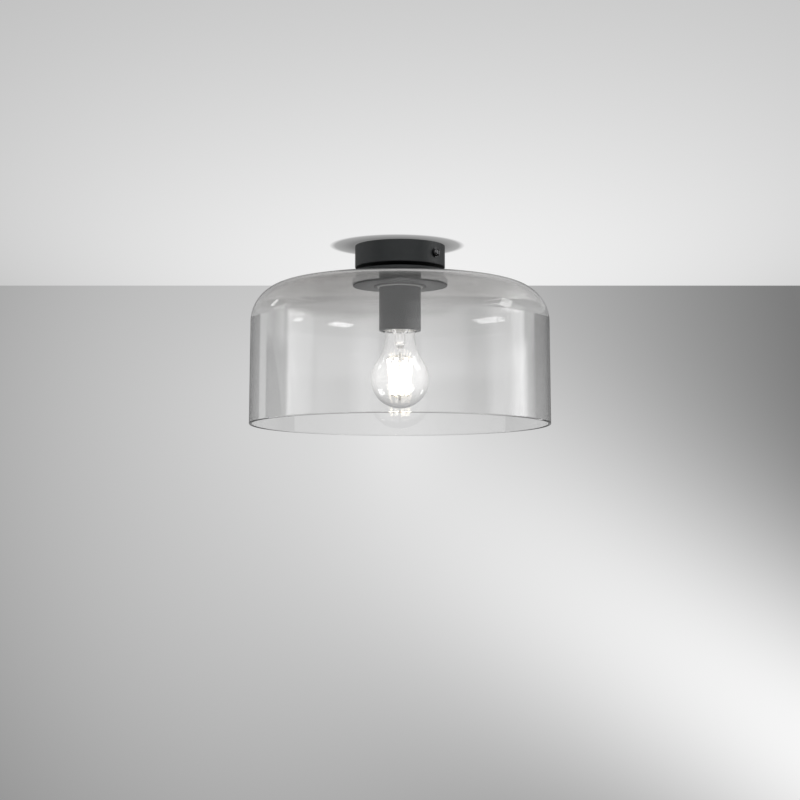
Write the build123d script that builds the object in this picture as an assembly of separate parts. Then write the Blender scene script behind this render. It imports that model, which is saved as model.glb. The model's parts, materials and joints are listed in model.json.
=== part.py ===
from build123d import *
import os
from math import asin, atan2, cos, degrees, radians, sin, sqrt

os.makedirs("parts", exist_ok=True)

# Sizes in millimetres. The lamp hangs along -Z from the ceiling plane z = 0, and its axis is the Z axis.
# Overall
shade_d = 300.0           # outside of the glass at its rim
total_h = 180.0           # ceiling to rim

# Canopy
canopy_d = 90.0
canopy_h = 22.5           # ceiling to the underside of the canopy
sheet_t = 1.2             # sheet of the canopy, the disc's plate and the lampholder cover's end
canopy_round = 1.0        # rounded lower edge
ceiling_gap = 0.3         # canopy rim to ceiling

# Ceiling bracket, along X
bracket_t = 1.5
bracket_w = 20.0
ear_gap = 1.3             # between an ear and the bush in the canopy wall
ear_h = 18.0
bend_r = 1.0              # inside of the bends
ear_round = 3.0
cable_hole_d = 12.0
slot_w = 4.4
slot_len = 12.0
slot_spacing = 50.0
earth_x = -13.0           # earth screw, between the cable hole and a slot

# Screws and washers
m4_d = 4.0
m4_head_d = 8.0
m4_head_h = 2.8
m4_head_round = 2.2       # rounding of the dome head
m4_washer_d = 9.0
m4_washer_t = 0.8
driver_slot_w = 1.0
driver_slot_depth = 1.2
m3_d = 3.0
m3_head_d = 5.4
m3_head_h = 1.8
bush_d = 8.0              # threaded bush in the canopy wall
bush_len = 2.5

# Nipple, nuts and spacer
nipple_d = 10.0
nipple_bore_d = 7.0
nipple_stand = 1.0        # nipple showing past each nut
nut_flats = 14.0
nut_h = 3.0
lock_washer_d = 18.0
lock_washer_t = 0.8
spacer_d = 28.0
spacer_h = 3.5            # dark gap between canopy and disc

# Disc, gaskets, ring and ring nut that hold the glass
disc_d = 96.0
disc_h = 7.5
disc_rim_w = 8.0          # rim that presses on the upper gasket
disc_round = 1.5
upper_gasket_t = 0.9
lower_gasket_t = 0.3
gasket_w = 7.0
ring_d = 94.2             # flat ring between the lower gasket and the ring nut
ring_t = 0.8
ring_hole_gap = 0.9       # glass ring to lampholder
ring_nut_d = 52.4
ring_nut_h = 2.2
ring_nut_edge = 0.6       # straight edge above the bevel
ring_nut_end_d = 43.6     # lower end of the bevel

# Glass shade
glass_t = 2.5             # wall and shoulder
glass_seat_t = 2.8        # the dome grows thicker towards the seat
glass_hole_d = 46.0
seat_r = 48.0             # flat land under the disc
dome_r = 400.0            # gentle dome from the seat to the shoulder
shoulder_r = 38.0
flare_deg = 0.5           # the wall opens towards the rim
rim_round = 1.0

# Lampholder
holder_d = 41.8
holder_len = 58.8
holder_wall = 1.0
holder_lip_w = 3.6        # spun edge that carries the insert
holder_lip_t = 1.2
holder_round = 1.1
insert_len = 39.6
socket_depth = 29.6
shell_d = 27.8            # brass screw shell
shell_t = 0.4
shell_len = 27.0
shell_mouth_d = 16.0      # opening in the shell's end
contact_strip_w = 5.0
contact_strip_len = 12.0
contact_strip_t = 0.5
contact_bump_r = 2.5
contact_bump_h = 0.2
terminal_x = 11.0         # holder terminals either side of the axis
terminal_size = 6.0
terminal_len = 8.0
terminal_wire_y = -2.0    # wire hole of a holder terminal
terminal_screw_y = 2.2

# Terminal block in the canopy
pole_pitch = 10.0
pole_count = 3
block_wall_gap = 11.8     # between the block and the canopy wall
block_d = 16.0
block_base_h = 8.0
block_h = 12.5
tower_w = 6.4
barrel_d = 4.8
barrel_bore_d = 3.0
barrel_len = 14.0
barrel_lift = 6.3         # barrel axis above the canopy floor
clamp_offset = 4.0        # clamp screws from the middle of a barrel

# Wires inside the lamp
wire_d = 2.2
wire_bend_r = 2.5
wire_pair_x = 1.4         # the two wires side by side in the nipple
wire_crest = 4.7          # crest of the wires above the nipple
tag_t = 0.8
tag_d = 17.0
tag_tongue_w = 5.0
tag_tongue_len = 14.0
tag_wire_x = 11.5
crimp_d = 3.6
crimp_len = 5.0

# Filament bulb
bulb_d = 59.0
bulb_len = 107.2          # contact to tip
bulb_glass_t = 0.8
bulb_neck_r = 15.2
bulb_waist_r = 45.0       # hollow curve between neck and ball
bulb_mouth_r = 12.4       # glass inside the cap
bulb_mouth_len = 4.0
bulb_mouth_flare = 6.5    # length over which the mouth widens to the neck
cap_d = 26.2
cap_t = 0.5
cap_len = 25.0            # contact to the edge of the cap
cap_shoulder = 2.0
cap_end_d = 20.0
cap_insulator_h = 4.0
cap_insulator_d = 11.0
cap_contact_d = 9.6
cap_contact_h = 1.5
cap_contact_round = 1.2
driver_t = 1.2
driver_depth = 15.0       # board below the contact
driver_part_d = 8.0
driver_part_h = 6.0
lead_d = 0.7
lead_x = 2.5
stem_r = 5.5
stem_wall = 1.0
stem_len = 27.0
stem_foot_len = 8.0       # flare down from the bulb's mouth to the tube
stem_pinch_r = 2.6        # pinched end that carries the filament frame
stem_pinch_len = 4.0
filament_count = 8
filament_d = 1.9
filament_top_r = 12.5
filament_low_r = 8.5
filament_top_drop = 5.0   # top of the filaments below the stem's end
filament_drop = 38.0      # height of a filament
frame_wire_d = 0.7
frame_rod_d = 1.8

# Clearances
slip = 0.1                # between pieces that are fixed to each other
run_gap = 0.3             # between pieces that move past each other

# Lengths and heights worked out from the sizes above
bracket_len = canopy_d - 2 * (sheet_t + bush_len + ear_gap)
block_y = canopy_d / 2 - sheet_t - block_wall_gap - block_d / 2
canopy_floor = -canopy_h
floor_top = canopy_floor + sheet_t
disc_top = canopy_floor - spacer_h
plate_low = disc_top - sheet_t
disc_low = disc_top - disc_h
seat_z = disc_low - upper_gasket_t
glass_low = seat_z - glass_seat_t
ring_top = glass_low - lower_gasket_t
ring_low = ring_top - ring_t
rim_z = -total_h
holder_low = plate_low - holder_len
insert_low = holder_low + holder_lip_t
socket_floor = insert_low + socket_depth
insert_top = insert_low + insert_len
strip_low = socket_floor - contact_strip_t
contact_z = strip_low - contact_bump_h - run_gap
bulb_tip = contact_z - bulb_len
ball_z = bulb_tip + bulb_d / 2
cap_low = contact_z - cap_len
insulator_top = contact_z - cap_contact_h
cap_top = insulator_top - cap_insulator_h
washer_top = floor_top + lock_washer_t
tag_top = washer_top + tag_t
nut_top = tag_top + nut_h
nipple_top = nut_top + nipple_stand
cover_end = plate_low - sheet_t
nipple_low = cover_end - nut_h - nipple_stand
screw_z = -canopy_h / 2
barrel_z = floor_top + barrel_lift
stem_top = cap_low + run_gap
stem_low = stem_top - stem_len


def turned(edges):
    """Solid turned about the Z axis from an outline of (radius, height) edges."""
    return revolve(Plane.XZ * make_face(edges), Axis.Z)


def turned_polygon(points):
    return turned(Polyline(*points, close=True).edges())


def tube(r_out, r_in, z_top, z_low):
    return turned_polygon([(r_in, z_low), (r_out, z_low), (r_out, z_top), (r_in, z_top)])


def rod(r, z_top, z_low):
    return Pos(0, 0, (z_top + z_low) / 2) * Cylinder(r, z_top - z_low)


def bar(start, end, r):
    """Round bar between two points."""
    along = Vector(*end) - Vector(*start)
    bottom = (Align.CENTER, Align.CENTER, Align.MIN)
    return Plane(origin=start, z_dir=along) * Cylinder(r, along.length, align=bottom)


def round_edges(solid):
    return solid.edges().filter_by(GeomType.CIRCLE)


def on_arc(centre, radius, angle):
    """Point of an outline at an angle in degrees, counted from the radius direction towards +Z."""
    return (centre[0] + radius * cos(radians(angle)), centre[1] + radius * sin(radians(angle)))


def arc(centre, radius, first, last):
    middle = (first + last) / 2
    return ThreePointArc(on_arc(centre, radius, first), on_arc(centre, radius, middle),
                         on_arc(centre, radius, last))


def hexagon_nut(z_low):
    blank = extrude(RegularPolygon(nut_flats / 2, 6, major_radius=False), nut_h)
    return Pos(0, 0, z_low) * blank - rod(nipple_d / 2 + slip, z_low + nut_h, z_low)


def make_bracket():
    """Strip with two ears bent down, a cable hole, two ceiling slots and the earth hole."""
    half = bracket_len / 2
    strip = Polyline((-half, -ear_h), (-half, 0), (half, 0), (half, -ear_h),
                     (half - bracket_t, -ear_h), (half - bracket_t, -bracket_t),
                     (bracket_t - half, -bracket_t), (bracket_t - half, -ear_h), close=True)
    profile = make_face(strip.edges())
    inner = [v for v in profile.vertices() if abs(v.Y + bracket_t) < slip]
    profile = fillet(inner, bend_r)
    outer = [v for v in profile.vertices() if abs(v.Y) < slip]
    profile = fillet(outer, bend_r + bracket_t)
    bracket = extrude(Plane.XZ * profile, bracket_w / 2, both=True)
    tips = bracket.edges().filter_by(Axis.X).group_by(Axis.Z)[0]
    bracket = fillet(tips, ear_round)
    bracket -= rod(cable_hole_d / 2, 0, -bracket_t)
    for side in (-1, 1):
        slot = extrude(SlotOverall(slot_len, slot_w), -bracket_t)
        bracket -= Pos(side * slot_spacing / 2, 0, 0) * slot
    return bracket - Pos(earth_x, 0, 0) * rod(m4_d / 2 + slip, 0, -bracket_t)


def dome_head_screw(shank_len):
    """Screw standing on the plane z = 0: dome head above it, shank below."""
    head = rod(m4_head_d / 2, m4_head_h, 0)
    head = fillet(round_edges(head).sort_by(Axis.Z)[-1], m4_head_round)
    head -= Pos(0, 0, m4_head_h) * Box(m4_head_d, driver_slot_w, 2 * driver_slot_depth)
    return head + rod(m4_d / 2, 0, -shank_len)


def make_canopy():
    r = canopy_d / 2
    cup = rod(r, -ceiling_gap, canopy_floor)
    cup = fillet(round_edges(cup).sort_by(Axis.Z)[0], canopy_round)
    cup -= rod(r - sheet_t, 0, floor_top)
    cup -= rod(nipple_d / 2 + slip, floor_top, canopy_floor)
    cup -= Pos(0, 0, screw_z) * Rot(0, 90, 0) * Cylinder(m4_d / 2 + run_gap, canopy_d)
    return cup - Pos(-pole_pitch / 2, block_y, 0) * rod(m3_d / 2 + slip, floor_top, canopy_floor)


def make_bush(side):
    """Threaded bush on the inside of the canopy wall, its outer end following the wall."""
    wall = canopy_d / 2 - sheet_t
    blank = Cylinder(bush_d / 2, 2 * bush_len) - Cylinder(m4_d / 2 + run_gap, 2 * bush_len)
    bush = Pos(side * wall, 0, screw_z) * Rot(0, 90, 0) * blank
    return bush & rod(wall, 0, canopy_floor)


def make_side_washer(side):
    inner = canopy_d / 2 + run_gap
    blank = Cylinder(m4_washer_d / 2, m4_washer_t) - Cylinder(m4_d / 2 + run_gap, m4_washer_t)
    return Pos(side * (inner + m4_washer_t / 2), 0, screw_z) * Rot(0, 90, 0) * blank


def make_side_screw(side):
    """Dome-head screw through the canopy wall, its tip against an ear of the bracket."""
    tip = bracket_len / 2 + run_gap
    seat = canopy_d / 2 + run_gap + m4_washer_t
    return Pos(side * seat, 0, screw_z) * Rot(0, side * 90, 0) * dome_head_screw(seat - tip)


def make_disc():
    """Turned disc: flat plate with a rim that presses on the upper gasket."""
    r = disc_d / 2
    disc = rod(r, disc_top, disc_low)
    disc = fillet(round_edges(disc).sort_by(Axis.Z)[-1], disc_round)
    disc -= rod(r - disc_rim_w, plate_low, disc_low)
    return disc - rod(nipple_d / 2 + slip, disc_top, plate_low)


def shade_body(wall_inset, seat_inset, bottom):
    """Solid inside the shade's outline, moved inwards by one inset at the wall and another at the seat."""
    flare = radians(flare_deg)
    across = shade_d / 2 - seat_r
    down = rim_z - seat_z + dome_r
    step = dome_r - shoulder_r
    turn = asin((across * cos(flare) + down * sin(flare) - shoulder_r) / step) - flare
    shoulder_at = on_arc((seat_r, seat_z - dome_r), step, 90 - degrees(turn))
    seat_end = (seat_r, seat_z - seat_inset)
    bend = shoulder_r - wall_inset
    run = shoulder_at[0] - seat_r
    drop = seat_end[1] - shoulder_at[1]
    dome = (run ** 2 + drop ** 2 - bend ** 2) / (2 * (drop - bend))
    dome_at = (seat_r, seat_end[1] - dome)
    lean = 90 - degrees(asin(run / (dome - bend)))
    wall_top = on_arc(shoulder_at, bend, flare_deg)
    wall_low = (wall_top[0] + (wall_top[1] - bottom) * sin(flare) / cos(flare), bottom)
    outline = [
        Line((0, seat_end[1]), seat_end),
        arc(dome_at, dome, 90, lean),
        arc(shoulder_at, bend, lean, flare_deg),
        Line(wall_top, wall_low),
        Line(wall_low, (0, bottom)),
        Line((0, bottom), (0, seat_end[1])),
    ]
    return turned(outline)


def make_shade():
    """Blown glass shade: seat, dome, shoulder and flared wall, open below."""
    shade = shade_body(0, 0, rim_z) - shade_body(glass_t, glass_seat_t, rim_z - glass_t)
    rim = round_edges(shade).group_by(Axis.Z)[0]
    shade = fillet(rim, rim_round)
    return shade - rod(glass_hole_d / 2, seat_z, glass_low)


def make_ring_nut():
    """Ring with a short straight edge and a long bevel down to the lampholder."""
    nut_low = ring_low - ring_nut_h
    edge_low = ring_low - ring_nut_edge
    r = ring_nut_d / 2
    bore = holder_d / 2 + run_gap
    return turned_polygon([(bore, nut_low), (ring_nut_end_d / 2, nut_low), (r, edge_low),
                           (r, ring_low), (bore, ring_low)])


def make_holder_cover():
    """Drawn cover with a flat end and a spun lip that carries the insert."""
    r = holder_d / 2
    cover = rod(r, plate_low, holder_low)
    cover = fillet(round_edges(cover), holder_round)
    cover -= rod(r - holder_wall, cover_end, insert_low)
    cover -= rod(r - holder_lip_w, insert_low, holder_low)
    return cover - rod(nipple_d / 2 + slip, plate_low, cover_end)


def terminal_pockets(clearance, depth):
    size = terminal_size + 2 * clearance
    pocket = Box(size, terminal_len + 2 * clearance, depth, align=(Align.CENTER, Align.CENTER, Align.MAX))
    return [Pos(side * terminal_x, 0, insert_top) * pocket for side in (-1, 1)]


def make_insert():
    """Ceramic insert: socket from below, terminal pockets from above."""
    insert = rod(holder_d / 2 - holder_wall - slip, insert_top, insert_low)
    insert -= rod(shell_d / 2 + slip, socket_floor, insert_low)
    mouth = round_edges(insert).group_by(Axis.Z)[0].sort_by(SortBy.RADIUS)[0]
    insert = chamfer(mouth, holder_lip_t)
    for pocket in terminal_pockets(slip, terminal_size):
        insert -= pocket
    return insert


def make_screw_shell():
    shell = rod(shell_d / 2, socket_floor, socket_floor - shell_len)
    shell -= rod(shell_d / 2 - shell_t, socket_floor - shell_t, socket_floor - shell_len)
    return shell - rod(shell_mouth_d / 2, socket_floor, socket_floor - shell_t)


def make_centre_contact():
    """Strip on the socket's floor with a round bump for the bulb's contact."""
    strip = Box(contact_strip_len, contact_strip_w, contact_strip_t)
    strip = Pos(0, 0, (socket_floor + strip_low) / 2) * strip
    bump = Pos(0, 0, strip_low - contact_bump_h + contact_bump_r) * Sphere(contact_bump_r)
    return strip + (bump & rod(contact_bump_r, strip_low, strip_low - contact_bump_h))


def make_holder_terminals():
    """Brass block each side, with a wire hole and a screw hole from above."""
    foot = insert_top - terminal_size
    hole = Pos(0, terminal_wire_y, 0) * rod(wire_d / 2 + slip, insert_top, foot)
    thread = Pos(0, terminal_screw_y, 0) * rod(m3_d / 2 + slip, insert_top, foot)
    blocks = []
    for side, block in zip((-1, 1), terminal_pockets(0, terminal_size)):
        at = Pos(side * terminal_x, 0, 0)
        blocks.append(block - at * hole - at * thread)
    return Compound(blocks)


def clamp_screw(x, y, head_top, tip):
    """Headless clamp screw with a driver slot."""
    screw = bar((x, y, tip), (x, y, head_top), m3_d / 2)
    return screw - Pos(x, y, head_top) * Box(m3_d, driver_slot_w, driver_slot_depth)


def make_holder_screws():
    top = insert_top + driver_slot_depth
    tip = insert_top - terminal_size / 2
    return Compound([clamp_screw(side * terminal_x, terminal_screw_y, top, tip) for side in (-1, 1)])


def pole_positions():
    return [(i - (pole_count - 1) / 2) * pole_pitch for i in range(pole_count)]


def clamp_positions():
    return [(x, block_y + side * clamp_offset) for x in pole_positions() for side in (-1, 1)]


def make_terminal_block():
    """Moulded block with a tower over each pole, wire funnels and screw wells."""
    bottom = (Align.CENTER, Align.CENTER, Align.MIN)
    at = Pos(0, block_y, floor_top)
    block = at * Box(pole_count * pole_pitch, block_d, block_base_h, align=bottom)
    for x in pole_positions():
        tower = Box(tower_w, block_d, block_h, align=bottom)
        tower = fillet(tower.edges().filter_by(Axis.Y).group_by(Axis.Z)[-1], tower_w / 4)
        block += Pos(x, 0, 0) * at * tower
    for x in pole_positions():
        faces = [(x, block_y + side * block_d / 2, barrel_z) for side in (-1, 1)]
        block -= bar(*faces, barrel_d / 2 + slip)
    for x, y in clamp_positions():
        block -= bar((x, y, barrel_z), (x, y, floor_top + block_h), m3_d / 2 + slip)
    fixing = Pos(-pole_pitch / 2, block_y, 0)
    block -= fixing * rod(m3_d / 2 + slip, floor_top + block_h, floor_top)
    return block - fixing * rod(m3_head_d / 2 + slip, floor_top + block_h, floor_top + block_base_h)


def make_barrels():
    barrels = []
    for x in pole_positions():
        ends = [(x, block_y + side * barrel_len / 2, barrel_z) for side in (-1, 1)]
        barrel = bar(*ends, barrel_d / 2) - bar(*ends, barrel_bore_d / 2)
        for side in (-1, 1):
            y = block_y + side * clamp_offset
            barrel -= bar((x, y, barrel_z), (x, y, barrel_z + barrel_d), m3_d / 2 + slip)
        barrels.append(barrel)
    return Compound(barrels)


def make_clamp_screws():
    tip = barrel_z + wire_d / 2 + slip
    top = floor_top + block_h - driver_slot_depth
    return Compound([clamp_screw(x, y, top, tip) for x, y in clamp_positions()])


def make_block_screw():
    seat = floor_top + block_base_h
    screw = rod(m3_d / 2, seat, canopy_floor - spacer_h / 2)
    screw += rod(m3_head_d / 2, seat + m3_head_h, seat)
    slot = Pos(0, 0, seat + m3_head_h) * Box(m3_head_d, driver_slot_w, driver_slot_depth)
    return Pos(-pole_pitch / 2, block_y, 0) * (screw - slot)


def wire(*points):
    """Insulated wire along straight runs with round bends."""
    path = FilletPolyline(*points, radius=wire_bend_r)
    return sweep(Plane(origin=path @ 0, z_dir=path % 0) * Circle(wire_d / 2), path=path)


def make_lamp_wire(pole_x, side):
    """From a pole of the block, over the nipple and down it, to a terminal of the lampholder."""
    start_y = block_y - clamp_offset / 2
    block_face = block_y - block_d / 2
    x = side * wire_pair_x
    end_x = side * terminal_x
    crest = nipple_top + wire_crest
    spread = nipple_low - wire_bend_r
    return wire((pole_x, start_y, barrel_z), (pole_x, block_face - wire_bend_r, barrel_z), (x, 0, crest),
                (x, 0, spread), (end_x, terminal_wire_y, (spread + insert_top) / 2),
                (end_x, terminal_wire_y, insert_top - terminal_size / 2))


def make_earth_wire():
    """From the last pole of the block to the crimp of the earth tag."""
    pole_x = pole_positions()[-1]
    start_y = block_y - clamp_offset / 2
    block_face = block_y - block_d / 2
    low = tag_top + wire_d / 2 + slip
    return wire((pole_x, start_y, barrel_z), (pole_x, block_face - wire_bend_r, barrel_z),
                (tag_wire_x, crimp_len, low), (tag_wire_x, -crimp_len / 2, low))


def make_earth_tag():
    """Ring under the nut with a tongue and a crimp for the earth wire."""
    tag = tube(tag_d / 2, nipple_d / 2 + slip, tag_top, washer_top)
    tongue = Box(tag_tongue_len, tag_tongue_w, tag_t, align=(Align.MIN, Align.CENTER, Align.MAX))
    tag += Pos(0, 0, tag_top) * tongue - rod(tag_d / 2 - slip, tag_top, washer_top)
    low = tag_top + wire_d / 2 + slip
    ends = [(tag_wire_x, side * crimp_len / 2, low) for side in (-1, 1)]
    tag += bar(*ends, crimp_d / 2) & rod(canopy_d / 2, nut_top, washer_top)
    return tag - bar(*ends, wire_d / 2 + slip)


def bulb_body(inset, top):
    """Solid inside the bulb's outline, moved inwards by inset and cut off at the height top."""
    ball_r = bulb_d / 2 - inset
    waist_r = bulb_waist_r + inset
    neck_r = bulb_neck_r - inset
    mouth_r = bulb_mouth_r - inset
    waist_x = neck_r + waist_r
    rise = sqrt((ball_r + waist_r) ** 2 - waist_x ** 2)
    slope = degrees(atan2(rise, waist_x))
    waist_at = (waist_x, ball_z + rise)
    neck_top = cap_low - bulb_mouth_flare
    outline = [
        Line((0, top), (mouth_r, top)),
        Line((mouth_r, top), (mouth_r, cap_low)),
        Spline((mouth_r, cap_low), (neck_r, neck_top), tangents=[(0, -1), (0, -1)]),
        Line((neck_r, neck_top), on_arc(waist_at, waist_r, 180)),
        arc(waist_at, waist_r, 180, 180 + slope),
        arc((0, ball_z), ball_r, slope, -90),
        Line((0, ball_z - ball_r), (0, top)),
    ]
    return turned(outline)


def make_envelope():
    mouth_top = cap_low + bulb_mouth_len
    return bulb_body(0, mouth_top) - bulb_body(bulb_glass_t, mouth_top)


def make_cap():
    """Thin screw cap: skirt, sloping shoulder and the opening that holds the insulator."""
    r = cap_d / 2
    end_r = cap_end_d / 2
    shoulder = cap_top - cap_shoulder
    return turned_polygon([(r, cap_low), (r, shoulder), (end_r, cap_top), (end_r - cap_t, cap_top),
                           (r - cap_t, shoulder), (r - cap_t, cap_low)])


def make_cap_insulator():
    """Plug in the cap's opening with a cone that carries the contact."""
    end_r = cap_end_d / 2
    plug_r = end_r - cap_t - slip
    plug_low = cap_top - cap_shoulder
    return turned_polygon([(0, plug_low), (plug_r, plug_low), (plug_r, cap_top), (end_r, cap_top),
                           (cap_insulator_d / 2, insulator_top), (0, insulator_top)])


def make_cap_contact():
    contact = rod(cap_contact_d / 2, contact_z, insulator_top)
    return fillet(round_edges(contact).sort_by(Axis.Z)[-1], cap_contact_round)


def make_driver():
    """Round board inside the cap with its tall component."""
    top = contact_z - driver_depth
    board = rod(cap_d / 2 - cap_t - slip, top, top - driver_t)
    return board + rod(driver_part_d / 2, top + driver_part_h, top)


def make_leads():
    top = contact_z - driver_depth - driver_t
    low = stem_top - stem_len / 2
    return Compound([bar((side * lead_x, 0, low), (side * lead_x, 0, top), lead_d / 2) for side in (-1, 1)])


def make_stem():
    """Glass stem: flared foot, tube and pinched end."""
    flare_r = bulb_mouth_r - bulb_glass_t - slip
    foot = stem_top - stem_foot_len
    pinch = stem_low + stem_pinch_len
    tube_low = pinch + stem_r
    outer = [(0, stem_top), (flare_r, stem_top), (flare_r, stem_top - stem_wall), (stem_r, foot),
             (stem_r, tube_low), (stem_pinch_r, pinch), (stem_pinch_r, stem_low), (0, stem_low)]
    bore_r = stem_r - stem_wall
    hollow = [(0, stem_top), (flare_r - stem_wall, stem_top), (bore_r, foot), (bore_r, tube_low),
              (0, tube_low)]
    return turned_polygon(outer) - turned_polygon(hollow)


def filament_ends(index):
    """Upper and lower end of one filament."""
    turn = radians(360 * (index + 0.5) / filament_count)
    top = stem_low - filament_top_drop
    upper = (filament_top_r * cos(turn), filament_top_r * sin(turn), top)
    lower = (filament_low_r * cos(turn), filament_low_r * sin(turn), top - filament_drop)
    return upper, lower


def make_filaments():
    return Compound([bar(*filament_ends(i), filament_d / 2) for i in range(filament_count)])


def make_frame():
    """Centre rod with a wire to each end of every filament."""
    rod_low = stem_low - filament_top_drop - filament_drop - filament_top_drop
    frame = rod(frame_rod_d / 2, stem_low, rod_low)
    spokes = []
    for i in range(filament_count):
        upper, lower = filament_ends(i)
        spokes.append(bar((0, 0, stem_low - frame_rod_d), upper, frame_wire_d / 2))
        spokes.append(bar((0, 0, rod_low + frame_rod_d), lower, frame_wire_d / 2))
    return frame.fuse(*spokes)


earth_seat = -bracket_t - m4_washer_t
earth_shank = -earth_seat - ceiling_gap
pole_x = pole_positions()
upper_gasket_r = disc_d / 2 - slip

nodes = {
    "ceiling_bracket": make_bracket(),
    "earth_washer": Pos(earth_x, 0, 0) * tube(m4_washer_d / 2, m4_d / 2 + slip, -bracket_t, earth_seat),
    "earth_screw": Pos(earth_x, 0, earth_seat) * Rot(180, 0, 0) * dome_head_screw(earth_shank),
    "canopy": make_canopy(),
    "canopy_bushes": Compound([make_bush(side) for side in (-1, 1)]),
    "side_washer_a": make_side_washer(1),
    "side_washer_b": make_side_washer(-1),
    "side_screw_a": make_side_screw(1),
    "side_screw_b": make_side_screw(-1),
    "nipple": tube(nipple_d / 2, nipple_bore_d / 2, nipple_top, nipple_low),
    "nipple_nuts": Compound([hexagon_nut(tag_top), hexagon_nut(cover_end - nut_h)]),
    "lock_washer": tube(lock_washer_d / 2, nipple_d / 2 + slip, washer_top, floor_top),
    "earth_tag": make_earth_tag(),
    "spacer": tube(spacer_d / 2, nipple_d / 2 + slip, canopy_floor, disc_top),
    "disc": make_disc(),
    "upper_gasket": tube(upper_gasket_r, upper_gasket_r - gasket_w, disc_low, seat_z),
    "glass_shade": make_shade(),
    "lower_gasket": tube(ring_d / 2 - slip, glass_hole_d / 2, glass_low, ring_top),
    "glass_ring": tube(ring_d / 2, holder_d / 2 + ring_hole_gap, ring_top, ring_low),
    "ring_nut": make_ring_nut(),
    "holder_cover": make_holder_cover(),
    "holder_insert": make_insert(),
    "screw_shell": make_screw_shell(),
    "centre_contact": make_centre_contact(),
    "holder_terminals": make_holder_terminals(),
    "holder_screws": make_holder_screws(),
    "terminal_block": make_terminal_block(),
    "terminal_barrels": make_barrels(),
    "clamp_screws": make_clamp_screws(),
    "block_screw": make_block_screw(),
    "live_wire": make_lamp_wire(pole_x[0], -1),
    "neutral_wire": make_lamp_wire(pole_x[1], 1),
    "earth_wire": make_earth_wire(),
    "bulb_envelope": make_envelope(),
    "bulb_cap": make_cap(),
    "cap_insulator": make_cap_insulator(),
    "cap_contact": make_cap_contact(),
    "bulb_driver": make_driver(),
    "bulb_leads": make_leads(),
    "bulb_stem": make_stem(),
    "filaments": make_filaments(),
    "filament_frame": make_frame(),
}

for name, shape in nodes.items():
    export_step(shape, f"parts/{name}.step")
    box = shape.bounding_box()
    print(f"{name}: {len(shape.solids())} solid, z {box.min.Z:.2f} to {box.max.Z:.2f}")
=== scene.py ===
import bpy
import bmesh
import json
from math import asin, atan2, cos, degrees, pi, radians, sin, sqrt, tan
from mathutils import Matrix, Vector


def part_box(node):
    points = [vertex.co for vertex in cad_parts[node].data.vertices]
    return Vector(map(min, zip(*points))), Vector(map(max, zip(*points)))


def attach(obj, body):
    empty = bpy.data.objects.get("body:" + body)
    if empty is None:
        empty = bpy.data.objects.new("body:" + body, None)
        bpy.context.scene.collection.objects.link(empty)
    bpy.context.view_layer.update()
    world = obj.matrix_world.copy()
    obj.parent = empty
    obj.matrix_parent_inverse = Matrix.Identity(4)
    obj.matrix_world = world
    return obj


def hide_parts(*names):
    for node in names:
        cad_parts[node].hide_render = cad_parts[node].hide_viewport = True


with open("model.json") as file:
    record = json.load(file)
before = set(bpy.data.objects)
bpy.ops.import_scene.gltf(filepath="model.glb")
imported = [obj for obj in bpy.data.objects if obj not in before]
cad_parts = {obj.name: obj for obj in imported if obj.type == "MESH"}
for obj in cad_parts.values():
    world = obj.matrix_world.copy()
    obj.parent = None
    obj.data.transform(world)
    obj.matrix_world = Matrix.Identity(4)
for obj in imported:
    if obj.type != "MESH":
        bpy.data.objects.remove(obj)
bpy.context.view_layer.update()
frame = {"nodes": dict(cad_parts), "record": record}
cad = frame["nodes"]
mm = 0.001
print("frame loaded:", len(cad), "nodes")

viewTurn = radians(39.2)  # the side from which the photograph looks at the lamp
towardsCamera = Vector((sin(viewTurn), -cos(viewTurn), 0))
acrossView = Vector((cos(viewTurn), sin(viewTurn), 0))
upwards = Vector((0, 0, 1))


# mesh helpers, all in millimetres and the lamp's own frame

def meshObject(name, verts, faces, smooth):
    # edges that bend by more than smooth degrees stay sharp
    mesh = bpy.data.meshes.new(name)
    mesh.from_pydata([(x * mm, y * mm, z * mm) for x, y, z in verts], [], faces)
    mesh.validate()
    bm = bmesh.new()
    bm.from_mesh(mesh)
    bmesh.ops.recalc_face_normals(bm, faces=bm.faces)
    bm.to_mesh(mesh)
    bm.free()
    mesh.polygons.foreach_set("use_smooth", [True] * len(mesh.polygons))
    mesh.set_sharp_from_angle(angle=radians(smooth))
    obj = bpy.data.objects.new(name, mesh)
    bpy.context.scene.collection.objects.link(obj)
    return obj


def circle(radius, height, steps):
    turns = [2 * pi * k / steps for k in range(steps)]
    return [(radius * cos(t), radius * sin(t), height) for t in turns]


def rowFaces(rows, closed):
    # faces between neighbouring rows of vertex numbers; closed joins the last row to the first
    following = rows[1:] + rows[:1] if closed else rows[1:]
    faces = []
    for here, after in zip(rows, following):
        for k in range(len(here)):
            n = (k + 1) % len(here)
            loop = list(dict.fromkeys([here[k], here[n], after[n], after[k]]))
            if len(loop) > 2:
                faces.append(loop)
    return faces


axisReach = 1e-6  # a profile point nearer the axis than this lies on it


def lathe(name, profile, steps, smooth):
    # profile: closed loop of (radius, height); points on the axis become single vertices
    verts, rows = [], []
    for r, z in profile:
        first = len(verts)
        if r < axisReach:
            verts.append((0, 0, z))
            rows.append([first] * steps)
        else:
            verts += circle(r, z, steps)
            rows.append(list(range(first, first + steps)))
    return meshObject(name, verts, rowFaces(rows, True), smooth)


def arcPoints(cx, cz, radius, first, last, count):
    turns = [radians(first + (last - first) * i / count) for i in range(count + 1)]
    return [(cx + radius * cos(t), cz + radius * sin(t)) for t in turns]


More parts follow.
